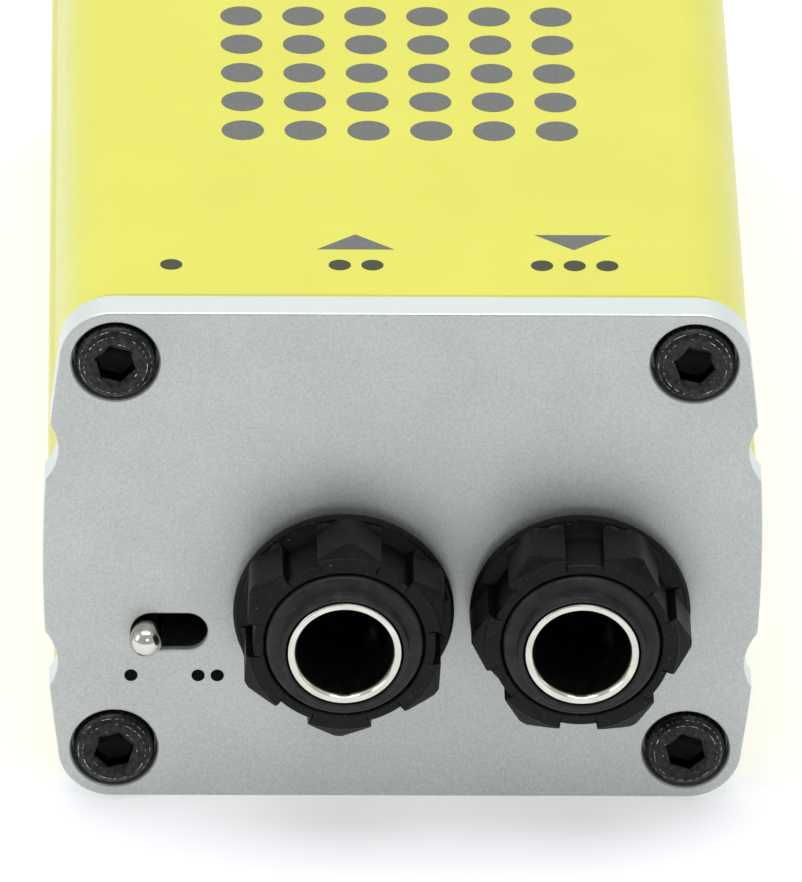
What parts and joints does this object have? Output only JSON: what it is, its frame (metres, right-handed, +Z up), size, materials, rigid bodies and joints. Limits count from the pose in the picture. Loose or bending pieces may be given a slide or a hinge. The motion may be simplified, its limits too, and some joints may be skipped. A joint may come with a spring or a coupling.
{
  "type": "direct injection box",
  "caption": "Passive direct injection box: grooved metal sleeve, two end plates, jack sockets with flanged nuts, XLR plug, pad and ground lift toggles.",
  "frame": {"origin": "centre of the sleeve's flat base, on the surface that the box stands on", "axes": "+X to the right of the front plate, +Y from the front plate to the rear plate, +Z up"},
  "size_m": [0.0486, 0.1092, 0.0372],
  "materials": {
    "sleeve_paint": "smooth satin paint",
    "plate_aluminium": "fine bead-blasted, clear anodised",
    "black_steel": "black oxide, oiled",
    "jack_plastic": "moulded, slight sheen",
    "bright_nickel": "polished",
    "contact_silver": "silver plated",
    "switch_plastic": "moulded",
    "blackened_steel": "black phosphate",
    "plated_steel": "zinc plated",
    "shell_nickel": "satin nickel",
    "board_laminate": "green solder mask",
    "winding_tape": "polyester tape",
    "can_sleeve": "shrink sleeve",
    "film_case": "moulded case",
    "resistor_coat": "lacquer",
    "wire_black": "insulation",
    "wire_red": "insulation",
    "wire_white": "insulation"
  },
  "bodies": {
    "box": {"case_sleeve": "sleeve_paint", "front_plate": "plate_aluminium", "rear_plate": "plate_aluminium", "front_screw_1": "black_steel", "front_screw_2": "black_steel", "front_screw_3": "black_steel", "front_screw_4": "black_steel", "rear_screw_1": "black_steel", "rear_screw_2": "black_steel", "rear_screw_3": "black_steel", "rear_screw_4": "black_steel", "xlr_screw_1": "black_steel", "xlr_screw_2": "black_steel", "input_jack_housing": "jack_plastic", "tuner_jack_housing": "jack_plastic", "input_jack_nut": "jack_plastic", "tuner_jack_nut": "jack_plastic", "input_jack_ferrule": "bright_nickel", "tuner_jack_ferrule": "bright_nickel", "input_tip_spring": "contact_silver", "input_ring_spring": "contact_silver", "tuner_tip_spring": "contact_silver", "tuner_ring_spring": "contact_silver", "xlr_pin_1": "contact_silver", "xlr_pin_2": "contact_silver", "xlr_pin_3": "contact_silver", "pad_switch_body": "switch_plastic", "ground_switch_body": "switch_plastic", "transformer_bobbin": "switch_plastic", "xlr_insert": "switch_plastic", "pad_switch_frame": "blackened_steel", "ground_switch_frame": "blackened_steel", "transformer_core": "plated_steel", "transformer_strap": "plated_steel", "xlr_nut_1": "plated_steel", "xlr_nut_2": "plated_steel", "xlr_shell": "shell_nickel", "circuit_board": "board_laminate", "transformer_winding": "winding_tape", "can_capacitor_1": "can_sleeve", "can_capacitor_2": "can_sleeve", "film_capacitor_1": "film_case", "film_capacitor_2": "film_case", "film_capacitor_3": "film_case", "resistor_1": "resistor_coat", "resistor_2": "resistor_coat", "resistor_3": "resistor_coat", "resistor_4": "resistor_coat", "resistor_5": "resistor_coat", "resistor_6": "resistor_coat", "xlr_wire_1": "wire_black", "xlr_wire_2": "wire_red", "xlr_wire_3": "wire_white"},
    "pad_toggle": {"pad_lever": "bright_nickel"},
    "ground_toggle": {"ground_lever": "bright_nickel"}
  },
  "joints": [
    {"name": "pad_toggle_hinge", "type": "hinge", "parent": "box", "child": "pad_toggle", "pos_m": [-0.0157, -0.0404, 0.01275], "axis": [0, 0, 1], "range_deg": [0, 17]},
    {"name": "ground_toggle_hinge", "type": "hinge", "parent": "box", "child": "ground_toggle", "pos_m": [-0.0157, 0.0404, 0.01275], "axis": [0, 0, 1], "range_deg": [0, 17]}
  ]
}
